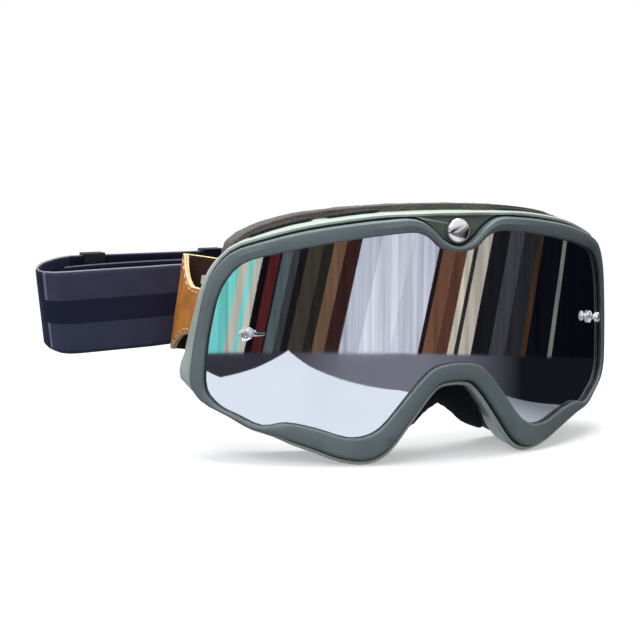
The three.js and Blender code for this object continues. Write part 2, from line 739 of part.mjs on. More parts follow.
function ribbonSection(centre, along) {
  const across = new THREE.Vector3(-along.y, along.x, 0).normalize().multiplyScalar(STRAP_THICKNESS / 2);
  const up = new THREE.Vector3(0, 0, STRAP_HEIGHT / 2);
  return [
    centre.clone().sub(across).sub(up), centre.clone().add(across).sub(up),
    centre.clone().add(across).add(up), centre.clone().sub(across).add(up),
  ];
}

function ribbonSections(path, steps) {
  const curve = new THREE.CatmullRomCurve3(
    path.map(([x, y, z]) => new THREE.Vector3(x, y, z)), false, "centripetal");
  return Array.from({ length: steps + 1 }, (_, i) =>
    ribbonSection(curve.getPoint(i / steps), curve.getTangent(i / steps)));
}

// A point on the middle line of the rear ply. The sliders run along its first straight stretch, and
// its second, at a slightly lower angle, bears on the back of the helmet.
function rearPlyPoint(distance) {
  const first = Math.min(distance, REAR_STRAIGHT);
  const second = distance - first;
  const x = REAR_START.x + first * Math.cos(REAR_ANGLE) + second * Math.cos(PAD_ANGLE);
  const y = REAR_START.y + first * Math.sin(REAR_ANGLE) + second * Math.sin(PAD_ANGLE);
  return new THREE.Vector3(x, y, REAR_Z);
}

// Where the inner face of the second stretch crosses the centre plane.
function strapInnerFacePoint() {
  const corner = rearPlyPoint(REAR_STRAIGHT);
  const y = corner.y - corner.x * Math.tan(PAD_ANGLE);
  return new THREE.Vector3(0, y - STRAP_THICKNESS / 2 / Math.cos(PAD_ANGLE), REAR_Z);
}

function strapRear() {
  const start = rearPlyPoint(0);
  const corner = rearPlyPoint(REAR_STRAIGHT);
  const end = rearPlyPoint(REAR_STRAIGHT + PAD_STRAIGHT);
  const along = corner.clone().sub(start).normalize();
  const padAlong = end.clone().sub(corner).normalize();
  const cornerAlong = along.clone().add(padAlong).normalize();
  const bend = ribbonSections([end.toArray(), ...STRAP_REAR_BEND], 24).slice(1);
  const straight = [
    ribbonSection(start, along), ribbonSection(corner, cornerAlong), ribbonSection(end, padAlong),
  ];
  return loft([...straight, ...bend], false);
}

// A flat buckle that the rear ply runs through, with two windows in its outer face.
function slider(distance) {
  const windowHeight = STRAP_HEIGHT + 2 * SLIDER_END_CLEARANCE;
  const windowDepth = STRAP_THICKNESS + 2 * SLIDER_CLEARANCE;
  const frameDepth = windowDepth + 2 * SLIDER_WALL;
  const frame = new THREE.BoxGeometry(SLIDER_LENGTH, frameDepth, windowHeight + 2 * SLIDER_END_WALL);
  const passage = new THREE.BoxGeometry(2 * SLIDER_LENGTH, windowDepth, windowHeight);
  const faceWindow = (x) =>
    new THREE.BoxGeometry(SLIDER_WINDOW_LENGTH, 3 * SLIDER_WALL, windowHeight - 2 * SLIDER_WINDOW_INSET)
      .translate(x, (windowDepth + 3 * SLIDER_WALL) / 2, 0);
  const windows = [faceWindow(-SLIDER_WINDOW_AT), faceWindow(SLIDER_WINDOW_AT)];
  const buckle = combine(frame, [], [passage, ...windows]);
  const centre = rearPlyPoint(distance);
  return buckle.rotateZ(REAR_ANGLE).translate(centre.x, centre.y, centre.z);
}

// ---------------------------------------------------------------- assembly

const goggles = new THREE.Group();

const frame = new THREE.Group();
const postLeft = tearOffPost(-1);
const ventInner = ventFilter(...VENT_STATIONS.inner);
const ventOuter = ventFilter(...VENT_STATIONS.outer);
frame.add(
  node("frame_body", frameBody(), SAGE),
  node("front_bezel", frontBezel(), SLATE),
  node("lens", lens(), MIRROR),
  node("lens_seal", lensSeal(), BLACK_RUBBER),
  node("tear_off_post_left", postLeft, CLEAR),
  node("tear_off_post_right", mirrored(postLeft), CLEAR),
  node("nose_rivet", noseRivet(), CHROME),
  node("foam_base", foamLayer(FOAM_BASE_SPAN, FOAM_BASE_BANDS), FOAM_BLACK),
  node("foam_core", foamLayer(FOAM_CORE_SPAN, FOAM_CORE_BANDS), FOAM_BROWN),
  node("foam_fleece", foamLayer(FOAM_FLEECE_SPAN, FOAM_FLEECE_BANDS), FLEECE),
  node("nose_foam", noseFoam(), FOAM_BLACK),
  node("vent_filter_right_inner", ventInner, FOAM_BLACK),
  node("vent_filter_right_outer", ventOuter, FOAM_BLACK),
  node("vent_filter_left_inner", mirrored(ventInner), FOAM_BLACK),
  node("vent_filter_left_outer", mirrored(ventOuter), FOAM_BLACK),
  node("strap_bar_left", strapBar(), STEEL),
  node("strap_bar_right", mirrored(strapBar()), STEEL),
  node("strap_fold", loft(ribbonSections(STRAP_FOLD_PATH, 20), false), WEBBING),
  node("strap_rear", strapRear(), DARK_WEBBING),
);

const leftLoop = new THREE.Group();
leftLoop.add(
  node("leather_outer_left", leatherOuter(), TAN_LEATHER),
  node("leather_lining_left", leatherLining(), BROWN_LEATHER),
  node("strap_front", loft(ribbonSections(STRAP_FRONT_PATH, 28), false), WEBBING),
  node("strap_tail", loft(ribbonSections(STRAP_TAIL_PATH, 24), false), DARK_WEBBING),
);

const rightLoop = new THREE.Group();
rightLoop.add(
  node("leather_outer_right", mirrored(leatherOuter()), TAN_LEATHER),
  node("leather_lining_right", mirrored(leatherLining()), BROWN_LEATHER),
  node("strap_end_right", loft(ribbonSections(STRAP_END_RIGHT_PATH, 8), false), DARK_WEBBING),
);

const sliders = new THREE.Group();
sliders.add(
  node("slider_fold", slider(FOLD_SLIDER_AT), BLACK_PLASTIC),
  node("slider_rear", slider(REAR_SLIDER_AT), BLACK_PLASTIC),
);

goggles.add(frame, leftLoop, rightLoop, sliders);
goggles.position.copy(strapInnerFacePoint().negate());

export default goggles;
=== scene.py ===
"""Looks for a pair of motorcycle goggles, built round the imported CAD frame.

Shapes are drawn in millimetres from the front of the lens on the centre plane, as in the CAD source,
and placed in the row frame by place(). Left is -X, the goggles look along -Y and +Z is up.
"""

import math

import bmesh
import bpy
import numpy as np
from mathutils import Matrix, Vector, noise


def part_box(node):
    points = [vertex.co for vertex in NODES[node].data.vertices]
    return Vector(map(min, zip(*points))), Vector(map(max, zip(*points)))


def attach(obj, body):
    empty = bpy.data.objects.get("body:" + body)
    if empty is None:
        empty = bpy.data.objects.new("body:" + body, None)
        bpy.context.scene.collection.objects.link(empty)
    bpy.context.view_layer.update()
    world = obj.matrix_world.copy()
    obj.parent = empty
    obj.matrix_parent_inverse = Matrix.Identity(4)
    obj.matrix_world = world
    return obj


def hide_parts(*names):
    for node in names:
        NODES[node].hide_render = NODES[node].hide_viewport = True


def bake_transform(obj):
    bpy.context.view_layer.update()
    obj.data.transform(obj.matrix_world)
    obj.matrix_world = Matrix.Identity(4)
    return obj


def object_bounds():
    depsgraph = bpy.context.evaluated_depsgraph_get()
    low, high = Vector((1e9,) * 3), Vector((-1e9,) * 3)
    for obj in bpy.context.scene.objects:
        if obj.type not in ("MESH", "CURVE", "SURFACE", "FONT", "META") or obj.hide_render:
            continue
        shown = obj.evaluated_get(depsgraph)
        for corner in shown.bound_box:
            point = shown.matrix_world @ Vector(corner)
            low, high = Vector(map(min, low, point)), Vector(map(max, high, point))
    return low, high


MM = 0.001
MERGE_DISTANCE = 1e-6

# ---------------------------------------------------------------- driving values, millimetres

LENS_RADIUS = 124.0
LENS_THICKNESS = 1.2
POST_S, POST_Z = 81.0, 1.0
RIVET_Z = 39.4
RIVET_RADIUS = 4.9
RIVET_SHANK_RADIUS = 1.5
RIVET_SHANK_END = -6.0
RIVET_FOOT_GAP = 0.15
RIVET_EDGE = 0.9
RIVET_DOME_HEIGHT = 2.5
# Half of a tear-off post's section, [radius, lift]: a foot, a flange on the lens and a double knob.
POST_PROFILE = [
    (0.05, -2.6), (1.6, -2.4), (1.9, -1.6), (0.9, -1.4), (0.9, 0.15), (2.3, 0.2), (2.5, 0.6),
    (2, 1.1), (1.2, 1.5), (1.1, 2.5), (1.7, 2.9), (2.1, 3.6), (1.8, 4.4), (1.1, 4.8), (0.05, 5),
]
PAD_FRONT_LIFT = -1.2
# The pad's face within these bounds is painted a darker grey-green as shade in its recess.
PAD_HALF_WIDTH, PAD_LOW_Z = 26.0, 33.0
# The flat triangles of the pad's face dip a little behind the curve that their corners follow.
PAD_LIFTS = (-3.0, PAD_FRONT_LIFT + 0.08)
# The bezel's inner wall between these lifts is painted black as shade along the lens edge.
BEZEL_INNER_WALL_LIFTS = (0.35, 1.0)
OPENING_CENTRE_X, OPENING_CENTRE_Z = 45.0, 8.0
ORIGIN_Z = 11.0

BAR = Vector((-80.5, 58.5, 5.5))
BAR_TILT = math.radians(8.7)

LEATHER_PLY = 0.95
LEATHER_GLUE_GAP = 0.1
LEATHER_HALF_AT_BAR = 9.4
LEATHER_HALF_AT_FOLD = 19.2
LEATHER_RISE = 2.2
LEATHER_SPREAD_SPAN = (4.5, 15.0)
LEATHER_SPREAD_POWER = 2.0
STITCH_INSET = 1.9
STITCH_LENGTH = 2.9
THREAD_RADIUS = 0.32
LEATHER_PATH = [
    (-2.9, -0.5), (-4, 6), (-5.3, 14), (-4.6, 18.2), (-1, 19.6), (4, 18.6), (8.5, 15.5), (8, 9),
    (4.2, 3), (2.6, -1.2), (0, -2.9),
]

STRAP_HEIGHT = 32.2
STRAP_THICKNESS = 1.8
RIB_PITCH = 0.9
WALE_PITCH = 0.75
# FOLD_LINE: how far along the front ply the fold's painted shade begins, with a thin painted highlight
# just before it.
FOLD_LINE = 64.6
FOLD_CENTRE = 68.0
FOLD_LEAN = 3.4
FOLD_LIFT = 2.2
FOLD_SPAN = 9.0
STRAP_FRONT_PATH = [
    (-79, 80.3, 6.9), (-88, 79.3, 6.9), (-97, 75.6, 6.9), (-110, 72, 6.9), (-122, 69.4, 6.8),
    (-134, 67.4, 6.6), (-137.6, 67.3, 6.6), (-141.9, 69.8, 6.9), (-142.4, 74.6, 7.7), (-139.6, 79.6, 9),
    (-134.6, 83.4, 10.1), (-129.8, 85.6, 10.8), (-127, 86.48, 11),
]
STRAP_TAIL_PATH = [
    (-79, 82.6, 8.6), (-90, 81.8, 8.6), (-105, 80, 8.4), (-120, 78.4, 8), (-131, 77.4, 7.4),
]
STRAP_REAR_PATH = [
    (-127, 86.48, 11), (-70, 92.58, 11), (-14.2, 98.55, 11), (19.8, 100.37, 11), (35, 99.9, 10.8),
    (52, 96.8, 10), (64, 91.4, 9.2), (70, 87.2, 8.6), (76, 83, 8.2), (81, 80.6, 8), (85.6, 78.9, 8),
]

# Stretches of the strap's front and rear plies, [start, end]; the script only places them.
FRONT_BEND = ((-95, 74, 8), (-127, 74, 8))
REAR_BEND = ((30, 90, 8), (75, 90, 8))

CAMERA_AZIMUTH = math.radians(-23.46)
CAMERA_ELEVATION = math.radians(7.14)
CAMERA_ROLL = math.radians(0.29)
CAMERA_DISTANCE = 566.7
CAMERA_TARGET = Vector((-47.2, 21.26, 5.5))
CAMERA_LENS = 84.4

# ---------------------------------------------------------------- frame and places

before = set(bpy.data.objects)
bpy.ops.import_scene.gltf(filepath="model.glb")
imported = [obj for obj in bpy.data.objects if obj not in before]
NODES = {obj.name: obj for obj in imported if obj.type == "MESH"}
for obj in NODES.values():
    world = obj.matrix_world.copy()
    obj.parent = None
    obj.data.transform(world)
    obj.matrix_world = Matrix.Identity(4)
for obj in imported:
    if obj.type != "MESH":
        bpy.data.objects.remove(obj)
cad_low, cad_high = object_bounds()
lens_low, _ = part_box("lens")
ORIGIN = Vector((0, -lens_low.y / MM, ORIGIN_Z))
LENS_AXIS_Y = lens_low.y + LENS_RADIUS * MM


def place(point):
    """A drawn point in millimetres, in the row frame in metres."""
    return (Vector(point) - ORIGIN) * MM


def wrap(s, z, lift):
    """A drawn point at arc length s and height z, lifted off the lens cylinder."""
    angle = s / LENS_RADIUS
    radius = LENS_RADIUS + lift
    return Vector((radius * math.sin(angle), LENS_RADIUS - radius * math.cos(angle), z))


def catmull_rom(points, closed, steps):
    """Samples a centripetal Catmull-Rom curve evenly in its parameter, with end points mirrored."""
    pts = [Vector(p) for p in points]
    count = len(pts)
    spans = count if closed else count - 1

    def at(i):
        if closed:
            return pts[i % count]
        if i < 0:
            return pts[0] * 2 - pts[1]
        if i >= count:
            return pts[-1] * 2 - pts[-2]
        return pts[i]

    samples = []
    total = steps if closed else steps + 1
    for k in range(total):
        f = spans * k / steps
        i = min(int(f), spans - 1)
        t = f - i
        p = [at(i - 1), at(i), at(i + 1), at(i + 2)]
        knots = [0.0]
        for a, b in zip(p, p[1:]):
            knots.append(knots[-1] + max((b - a).length, 1e-6) ** 0.5)
        u = knots[1] + t * (knots[2] - knots[1])
        level = p
        for width in (1, 2):
            level = [
                a * ((knots[j + width] - u) / (knots[j + width] - knots[j]))
                + b * ((u - knots[j]) / (knots[j + width] - knots[j]))
                for j, (a, b) in enumerate(zip(level, level[1:]))
            ]
        # The last blend runs between the middle two knots.
        a, b = level
        w = (u - knots[1]) / (knots[2] - knots[1])
        samples.append(a * (1 - w) + b * w)
    return samples


def resample(points, closed, spacing):
    """The same path with points an even distance apart."""
    path = points + [points[0]] if closed else points
    lengths = [0.0]
    for a, b in zip(path, path[1:]):
        lengths.append(lengths[-1] + (b - a).length)
    count = max(3, round(lengths[-1] / spacing))
    result = []
    j = 0
    for k in range(count if closed else count + 1):
        target = lengths[-1] * k / count
        while j < len(lengths) - 2 and lengths[j + 1] < target:
            j += 1
        span = max(lengths[j + 1] - lengths[j], 1e-9)
        result.append(path[j].lerp(path[j + 1], (target - lengths[j]) / span))
    return result


# ---------------------------------------------------------------- meshes


def link(name, data):
    made = bpy.data.objects.new(name, data)
    bpy.context.scene.collection.objects.link(made)
    return made


def mesh_object(name, vertices, faces, sharp=None):
    mesh = bpy.data.meshes.new(name)
    mesh.from_pydata([tuple(v) for v in vertices], [], faces)
    mesh.validate()
    bm = bmesh.new()
    bm.from_mesh(mesh)
    bmesh.ops.recalc_face_normals(bm, faces=bm.faces)
    bm.to_mesh(mesh)
    bm.free()
    smooth(mesh, sharp)
    return link(name, mesh)


def smooth(mesh, sharp=None):
    mesh.polygons.foreach_set("use_smooth", [True] * len(mesh.polygons))
    if sharp is not None:
        mesh.set_sharp_from_angle(angle=math.radians(sharp))


def grid_faces(rows, columns, ring_rows, ring_columns):
    faces = []
    for i in range(rows if ring_rows else rows - 1):
        a, b = i * columns, (i + 1) % rows * columns
        for j in range(columns if ring_columns else columns - 1):
            k = (j + 1) % columns
            faces.append((a + j, b + j, b + k, a + k))
    return faces


def copied_mesh(node):
    """A copy of a CAD node's mesh with its doubled vertices joined."""
    bm = bmesh.new()
    bm.from_mesh(NODES[node].data)
    bmesh.ops.remove_doubles(bm, verts=bm.verts, dist=MERGE_DISTANCE)
    return bm


def finish_bmesh(bm, name, sharp):
    mesh = bpy.data.meshes.new(name)
    bm.to_mesh(mesh)
    bm.free()
    smooth(mesh, sharp)
    return link(name, mesh)


def hard_part(node, name, bevel):
    """A finer copy of a hard CAD part, with its sharp edges rounded."""
    bm = copied_mesh(node)
    bmesh.ops.join_triangles(
        bm, faces=bm.faces, angle_face_threshold=math.radians(4), angle_shape_threshold=math.radians(50)
    )
    made = finish_bmesh(bm, name, 30)
    edge = made.modifiers.new("edge", "BEVEL")
    edge.width = bevel * MM
    edge.segments = 3
    edge.limit_method = "ANGLE"
    edge.angle_limit = math.radians(38)
    edge.harden_normals = True
    return made


def stands_for(made, look, slot, body, *nodes):
    """Gives a new piece its material, its body, and the CAD nodes that it replaces. The slot argument is
    not used.
    """
    made.data.materials.clear()
    made.data.materials.append(look)
    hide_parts(*nodes)
    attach(made, body)


def apply_modifiers(made):
    depsgraph = bpy.context.evaluated_depsgraph_get()
    mesh = bpy.data.meshes.new_from_object(made.evaluated_get(depsgraph))
    made.modifiers.clear()
    made.data = mesh


# ---------------------------------------------------------------- material tools


def srgb(r, g, b):
    def linear(c):
        c /= 255
        return c / 12.92 if c <= 0.04045 else ((c + 0.055) / 1.055) ** 2.4

    return (linear(r), linear(g), linear(b), 1.0)


class Look:
    """A node material being built. add() makes a node, sets or links its inputs and returns it."""

    def __init__(self, name):
        self.material = bpy.data.materials.new(name)
        self.material.use_nodes = True
        self.tree = self.material.node_tree
        self.shader = self.tree.nodes["Principled BSDF"]

    def add(self, kind, inputs=None, **settings):
        made = self.tree.nodes.new("ShaderNode" + kind)
        for key, value in settings.items():
            setattr(made, key, value)
        self.set(made, inputs or {})
        return made

    def set(self, node, inputs):
        for key, value in inputs.items():
            socket = node.inputs[key]
            if isinstance(value, bpy.types.NodeSocket):
                self.tree.links.new(value, socket)
            else:
                socket.default_value = value

    def place(self, scale=(1, 1, 1)):
        coords = self.add("TexCoord").outputs["Object"]
        return self.add("Mapping", {"Vector": coords, "Scale": scale}).outputs[0]

    def noise(self, scale, detail, vector=None):
        inputs = {"Scale": scale, "Detail": detail, "Roughness": 0.55}
        inputs["Vector"] = vector or self.place()
        return self.add("TexNoise", inputs).outputs["Fac"]

    def cells(self, scale, feature="F1"):
        inputs = {"Scale": scale, "Vector": self.place()}
        return self.add("TexVoronoi", inputs, feature=feature).outputs["Distance"]

    def math(self, operation, a, b=0.0, c=0.0):
        return self.add("Math", {0: a, 1: b, 2: c}, operation=operation).outputs[0]

    def ramp(self, value, low, high, to_low=0.0, to_high=1.0):
        inputs = {"Value": value, "From Min": low, "From Max": high, "To Min": to_low, "To Max": to_high}
        return self.add("MapRange", inputs, clamp=True).outputs[0]

    def mix(self, fac, a, b, blend="MIX"):
        made = self.add("Mix", data_type="RGBA", blend_type=blend)
        self.set(made, {0: fac, 6: a, 7: b})
        return made.outputs[2]

    def bump(self, height, distance, strength=1.0, normal=None):
        inputs = {"Height": height, "Distance": distance * MM, "Strength": strength}
        if normal is not None:
            inputs["Normal"] = normal
        return self.add("Bump", inputs).outputs[0]

    def finish(self, **inputs):
        names = {key.replace("_", " "): value for key, value in inputs.items()}
        self.set(self.shader, names)
        return self.material


# ---------------------------------------------------------------- materials


def moulded_plastic(name, colour, dark, roughness):
    """Matt moulded plastic: fine spark-eroded texture, faint mottling and lighter sharp convex edges."""
    look = Look(name)
    mottle = look.noise(60, 4)
    grain_height = look.noise(1980, 2)
    base = look.mix(look.ramp(mottle, 0.35, 0.7), colour, dark)
    sharp_edge_mask = look.ramp(look.add("NewGeometry").outputs["Pointiness"], 0.52, 0.6)
    light = tuple(min(1, c * 1.35) for c in colour[:3]) + (1,)
    base = look.mix(look.math("MULTIPLY", sharp_edge_mask, 0.35), base, light)
    rough = look.ramp(mottle, 0.3, 0.8, roughness - 0.06, roughness + 0.08)
    normal = look.bump(grain_height, 0.05, 0.55)
    return look.finish(Base_Color=base, Roughness=rough, Normal=normal, Specular_IOR_Level=0.42)


def rubber():
    look = Look("black_rubber")
    base = look.mix(look.noise(300, 3), srgb(16, 22, 28), srgb(26, 32, 38))
    return look.finish(Base_Color=base, Roughness=0.62, Normal=look.bump(look.noise(2500, 2), 0.03))


def mirror():
    """Silver mirror coating with very faint polishing haze and dust."""
    look = Look("lens_mirror")
    haze = look.noise(25, 3)
    dust = look.ramp(look.noise(1400, 2), 0.7, 0.82)
    rough = look.math("ADD", look.ramp(haze, 0.3, 0.8, 0.012, 0.03), look.math("MULTIPLY", dust, 0.05))
    base = look.mix(haze, srgb(238, 241, 246), srgb(228, 233, 240))
    return look.finish(Base_Color=base, Metallic=1.0, Roughness=rough)


def clear_plastic():
    look = Look("clear_plastic")
    rough = look.ramp(look.noise(800, 2), 0.3, 0.7, 0.03, 0.09)
    return look.finish(
        Base_Color=srgb(240, 242, 242), Roughness=rough, IOR=1.49, Transmission_Weight=0.9
    )


def metal(name, colour, roughness, scratches):
    look = Look(name)
    lines = look.noise(1800, 2, look.place((1, 1, 0.06)))
    rough = look.ramp(lines, 0.4, 0.8, roughness, roughness + scratches)
    base = look.mix(lines, colour, tuple(c * 0.9 for c in colour[:3]) + (1,))
    return look.finish(Base_Color=base, Metallic=1.0, Roughness=rough)


def foam(name, colour, dark, pores=1300):
    """Open-cell foam: small dark pores between paler struts, with broad soft variation."""
    look = Look(name)
    cell = look.cells(pores)
    large = look.noise(90, 3)
    pit = look.ramp(cell, 0.15, 0.55, 1.0, 0.0)
    base = look.mix(look.ramp(large, 0.3, 0.7), colour, dark)
    base = look.mix(look.math("MULTIPLY", pit, 0.65), base, tuple(c * 0.35 for c in dark[:3]) + (1,))
    normal = look.bump(cell, 0.35, 0.9)
    return look.finish(
        Base_Color=base, Roughness=0.95, Normal=normal, Sheen_Weight=0.15, Specular_IOR_Level=0.2
    )


def fleece():
    look = Look("fleece")
    fuzz = look.noise(2600, 4)
    base = look.mix(fuzz, srgb(34, 31, 32), srgb(64, 58, 56))
    return look.finish(
        Base_Color=base, Roughness=1.0, Normal=look.bump(fuzz, 0.4), Sheen_Weight=0.5,
        Specular_IOR_Level=0.1,
    )


def tan_leather():
    """Vegetable-tanned leather: pebbled grain, darker creases, warm and cool patches, dark pores."""
    look = Look("tan_leather")
    patch = look.noise(70, 4)
    streak = look.noise(260, 4, look.place((1, 1, 0.35)))
    grain = look.cells(1500, feature="DISTANCE_TO_EDGE")
    base = look.mix(look.ramp(patch, 0.3, 0.7), srgb(222, 146, 66), srgb(176, 104, 48))
    base = look.mix(look.ramp(streak, 0.5, 0.75, 0, 0.45), base, srgb(232, 166, 92))
    base = look.mix(look.ramp(grain, 0.0, 0.12, 0.4, 0.0), base, srgb(96, 48, 20))
    pores = look.ramp(look.cells(700), 0.0, 0.1, 0.5, 0.0)
    base = look.mix(pores, base, srgb(80, 40, 18))
    normal = look.bump(look.ramp(grain, 0, 0.2), 0.12, 0.6)
    normal = look.bump(streak, 0.2, 0.5, normal)
    rough = look.ramp(patch, 0.3, 0.8, 0.42, 0.6)
    return look.finish(Base_Color=base, Roughness=rough, Normal=normal, Specular_IOR_Level=0.45)


def suede():
    look = Look("brown_leather")
    nap = look.noise(1700, 4)
    patch = look.noise(120, 3)
    base = look.mix(look.ramp(patch, 0.3, 0.7), srgb(58, 30, 24), srgb(38, 18, 14))
    base = look.mix(look.ramp(nap, 0.4, 0.8, 0, 0.5), base, srgb(90, 54, 40))
    return look.finish(
        Base_Color=base, Roughness=0.92, Normal=look.bump(nap, 0.25), Sheen_Weight=0.25,
        Specular_IOR_Level=0.2,
    )


def cut_edge():
    """Raw leather edge: pale, fibrous, with a fine layered line."""
    look = Look("leather_cut_edge")
    fibre = look.noise(900, 4, look.place((1, 1, 3)))
    base = look.mix(look.ramp(fibre, 0.35, 0.7), srgb(252, 232, 188), srgb(226, 186, 128))
    return look.finish(Base_Color=base, Roughness=0.8, Normal=look.bump(fibre, 0.12))


def thread(name, colour):
    look = Look(name)
    twist = look.add("TexWave", {"Vector": look.place(), "Scale": 900, "Distortion": 0.6}).outputs["Fac"]
    base = look.mix(twist, colour, tuple(c * 0.6 for c in colour[:3]) + (1,))
    return look.finish(Base_Color=base, Roughness=0.7, Normal=look.bump(twist, 0.08))


def webbing(name, striped):
    """Woven elastic: V runs across the strap from 0 at its top edge to 1, U along it in metres."""
    look = Look(name)
    uv = look.add("UVMap", uv_map="weave").outputs[0]
    parts = look.add("SeparateXYZ", {0: uv})
    u, v = parts.outputs[0], parts.outputs[1]
    rib = look.math("SINE", look.math("MULTIPLY", u, 2 * math.pi / (RIB_PITCH * MM)))
    wale = look.math("SINE", look.math("MULTIPLY", v, 2 * math.pi * STRAP_HEIGHT / WALE_PITCH))
    weave = look.math("MULTIPLY", rib, wale)
    height = look.math("ADD", look.math("MULTIPLY", weave, 0.5), look.math("MULTIPLY", rib, 0.5))
    across = look.add("CombineXYZ", {0: look.math("MULTIPLY", u, 3000), 1: look.math("MULTIPLY", v, 60)})
    fibre = look.noise(1, 3, across.outputs[0])
    cloud = look.noise(45, 3)
    if striped:
        dark = look.math("MULTIPLY", look.ramp(v, 0.345, 0.355), look.ramp(v, 0.632, 0.642, 1, 0))
        # Beyond FOLD_LINE the light bands turn dark: painted shade where the fold faces away from the
        # light.
        folded = look.ramp(u, FOLD_LINE * MM, (FOLD_LINE + 0.6) * MM)
        upper = look.mix(fibre, srgb(58, 57, 78), srgb(70, 69, 93))
        lower = look.mix(fibre, srgb(54, 57, 78), srgb(65, 68, 91))
        light = look.mix(look.ramp(v, 0.4, 0.6), upper, lower)
        # The dark stripe's colour, also used as the fold's painted shade.
        dark_stripe_and_fold_shade = look.mix(fibre, srgb(25, 28, 50), srgb(35, 38, 61))
        # A thin pale line just before FOLD_LINE: a painted highlight on the edge of the fold.
        fold_highlight = look.math("COMPARE", u, (FOLD_LINE - 0.5) * MM, 0.4 * MM)
        light = look.mix(look.math("MULTIPLY", fold_highlight, 0.5), light, srgb(150, 146, 158))
        base = look.mix(look.math("MAXIMUM", dark, folded), light, dark_stripe_and_fold_shade)
        selvedge_and_highlight = srgb(150, 146, 152)
    else:
        base = look.mix(fibre, srgb(8, 12, 27), srgb(15, 19, 36))
        selvedge_and_highlight = srgb(96, 98, 112)
    base = look.mix(look.ramp(cloud, 0.4, 0.7, 0, 0.22), base, srgb(18, 20, 40))
    # A paler line along both edges: a lighter selvedge thread, also a painted highlight standing in for
    # the lit top edge.
    selvedge = look.ramp(look.math("ABSOLUTE", look.math("SUBTRACT", v, 0.5)), 0.486, 0.492)
    base = look.mix(look.math("MULTIPLY", selvedge, 0.8), base, selvedge_and_highlight)
    shade = look.ramp(weave, -1, 1, 0.9, 1.06)
    shade_colour = look.add("CombineColor", {0: shade, 1: shade, 2: shade}).outputs[0]
    base = look.mix(1.0, base, shade_colour, "MULTIPLY")
    normal = look.bump(height, 0.06, 0.6)
    return look.finish(
        Base_Color=base, Roughness=0.9, Normal=normal, Sheen_Weight=0.04, Specular_IOR_Level=0.12
    )


SLATE = moulded_plastic("slate_plastic", srgb(101, 111, 114), srgb(90, 100, 102), 0.5)
SAGE = moulded_plastic("sage_plastic", srgb(162, 172, 161), srgb(151, 161, 152), 0.5)
# A darker grey-green for the rivet pad's face: painted shade of its recess.
PAD_PAINTED_SHADE = moulded_plastic("pad_painted_shade", srgb(72, 82, 76), srgb(64, 74, 68), 0.55)
BUCKLE = moulded_plastic("slider_plastic", srgb(15, 17, 24), srgb(10, 12, 18), 0.3)
# Black rubber for the lens seal, also used as painted shade on the bezel's inner wall.
RUBBER_AND_PAINTED_SHADE = rubber()
MIRROR = mirror()
CLEAR = clear_plastic()
CHROME = metal("chrome_metal", srgb(235, 234, 230), 0.03, 0.04)
STEEL = metal("steel", srgb(150, 152, 155), 0.28, 0.15)
FOAM_BROWN = foam("brown_foam", srgb(104, 95, 89), srgb(82, 74, 69))
FOAM_DARK = foam("dark_foam", srgb(34, 32, 38), srgb(20, 20, 26), 900)
FLEECE = fleece()
TAN = tan_leather()
SUEDE = suede()
CUT_EDGE = cut_edge()
PALE_THREAD = thread("pale_thread", srgb(236, 214, 170))
STRIPED = webbing("striped_webbing", True)
DARK_WEB = webbing("dark_webbing", False)

# ---------------------------------------------------------------- frame, bezel and lens


def make_frame_body():
    body = hard_part("frame_body", "frame_shell", 0.3)
    stands_for(body, SAGE, "sage_plastic", "frame", "frame_body")
    # The rivet pad's face takes a darker grey-green as painted shade of its recess.
    body.data.materials.append(PAD_PAINTED_SHADE)
    for polygon in body.data.polygons:
        if faces_rivet_pad(polygon):
            polygon.material_index = 1


def lens_lift(co):
    """How far a point in metres stands in front of the lens cylinder, in millimetres."""
    return math.hypot(co.x, co.y - LENS_AXIS_Y) / MM - LENS_RADIUS


def lens_radial(co):
    """The direction straight out of the lens cylinder at a point."""
    return Vector((co.x, co.y - LENS_AXIS_Y, 0)).normalized()


def faces_rivet_pad(polygon):
    """True for the front face of the recessed pad that carries the rivet."""
    co = polygon.center
    radial = lens_radial(co)
    near = abs(co.x) < PAD_HALF_WIDTH * MM and co.z > place((0, 0, PAD_LOW_Z)).z
    low, high = PAD_LIFTS
    return near and radial.dot(polygon.normal) > 0.9 and low < lens_lift(co) < high


def make_bezel():
    bezel = hard_part("front_bezel", "bezel_ring", 0.3)
    stands_for(bezel, SLATE, "slate_plastic", "frame", "front_bezel")
    # The inner wall round the lens opening takes the black rubber look as painted shade.
    bezel.data.materials.append(RUBBER_AND_PAINTED_SHADE)
    low, high = BEZEL_INNER_WALL_LIFTS
    for polygon in bezel.data.polygons:
        upright = abs(lens_radial(polygon.center).dot(polygon.normal)) < 0.3
        if upright and low < lens_lift(polygon.center) < high and opens_inwards(polygon):
            polygon.material_index = 1


def opens_inwards(polygon):
    """True for a wall that faces the middle of the lens opening on its own side."""
    side = math.copysign(1, polygon.center.x)
    centre = Vector((side * OPENING_CENTRE_X * MM, 0, place((0, 0, OPENING_CENTRE_Z)).z))
    towards = centre - polygon.center
    towards.y = 0
    return towards.dot(polygon.normal) > 0


